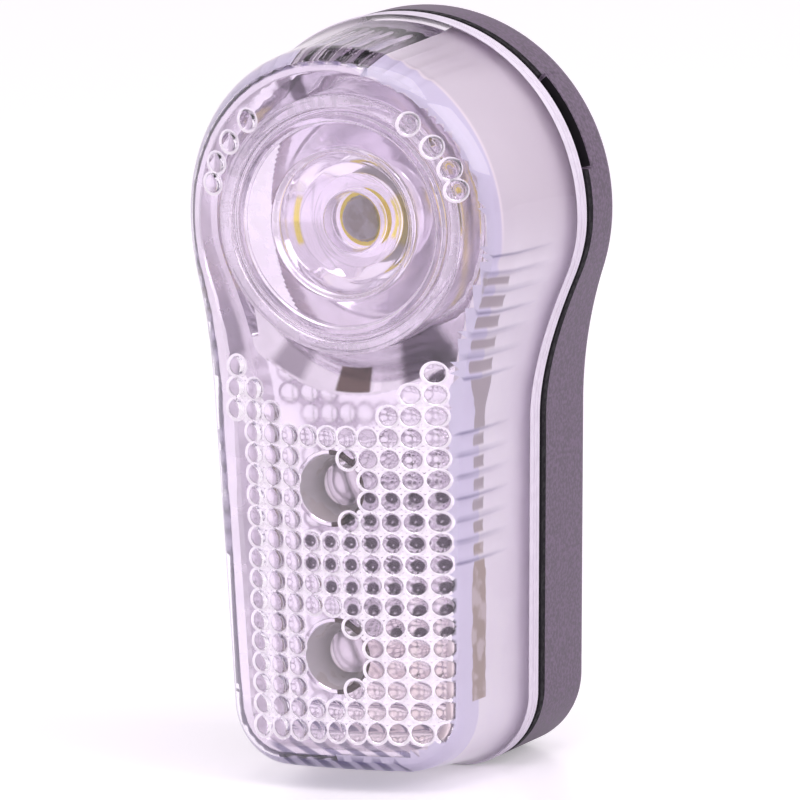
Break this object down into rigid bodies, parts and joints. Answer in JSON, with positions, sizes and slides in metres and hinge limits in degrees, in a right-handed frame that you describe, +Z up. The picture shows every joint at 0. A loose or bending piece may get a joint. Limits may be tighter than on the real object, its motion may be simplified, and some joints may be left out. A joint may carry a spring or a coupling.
{
  "type": "bicycle headlight",
  "caption": "Battery bicycle headlight: keyhole-shaped clear beaded cover over a plated reflector with lamps, on a black rear housing with push button and rear clip",
  "frame": {"origin": "middle of the bounding box on the table, under the base", "axes": "+Z up along the body, -Y out of the beam, +X to the right seen from the front"},
  "size_m": [0.0414, 0.0388, 0.08],
  "materials": {
    "housing_black": "fine spark grain",
    "seal_rubber": "matte",
    "cell_wrap": "wrapped can",
    "contact_steel": "nickel plated",
    "screw_steel": "zinc plated",
    "button_rubber": "matte",
    "lens_clear": "clear, polished",
    "optic_clear": "clear, polished",
    "bright_plating": "bright plating on plastic",
    "board_tan": "bare phenolic",
    "spreader_aluminium": "plain",
    "emitter_yellow": "phosphor",
    "lamp_clear": "clear",
    "chip_black": "moulded",
    "finger_brass": "spring strip",
    "plunger_white": "moulded"
  },
  "bodies": {
    "housing": {"rear_housing": "housing_black", "gasket": "seal_rubber", "battery_left": "cell_wrap", "battery_right": "cell_wrap", "link_contact": "contact_steel", "link_spring": "contact_steel", "negative_spring": "contact_steel", "positive_terminal": "contact_steel", "negative_terminal": "contact_steel", "clip_root": "housing_black", "clip_screws": "screw_steel"},
    "cover": {"lens_cover": "lens_clear", "main_optic": "optic_clear", "reflector_panel": "bright_plating", "led_board": "board_tan", "heat_spreader": "spreader_aluminium", "main_led_base": "emitter_yellow", "main_led_dome": "lamp_clear", "upper_led": "lamp_clear", "lower_led": "lamp_clear", "board_screws": "screw_steel", "driver_chip": "chip_black", "resistors": "chip_black", "contact_fingers": "finger_brass", "tact_switch": "chip_black"},
    "clip": {"clip_tongue": "housing_black"},
    "button": {"power_button": "button_rubber"},
    "plunger": {"switch_plunger": "plunger_white"}
  },
  "joints": [
    {"name": "cover_release", "type": "slide", "parent": "housing", "child": "cover", "axis": [0, -1, 0], "range_m": [0, 0.035]},
    {"name": "clip_flex", "type": "hinge", "parent": "housing", "child": "clip", "pos_m": [0, 0.0182, 0.06], "axis": [1, 0, 0], "range_deg": [0, 8], "stiffness_Nm_per_rad": 0.8},
    {"name": "button_press", "type": "slide", "parent": "housing", "child": "button", "axis": [0, -1, 0], "range_m": [0, 0.0005], "stiffness_N_per_m": 1500},
    {"name": "plunger_travel", "type": "slide", "parent": "cover", "child": "plunger", "axis": [0, -1, 0], "range_m": [0, 0.0005]}
  ],
  "couplings": [
    {"joint": "plunger_travel", "follows": "button_press", "ratio": 1}
  ]
}
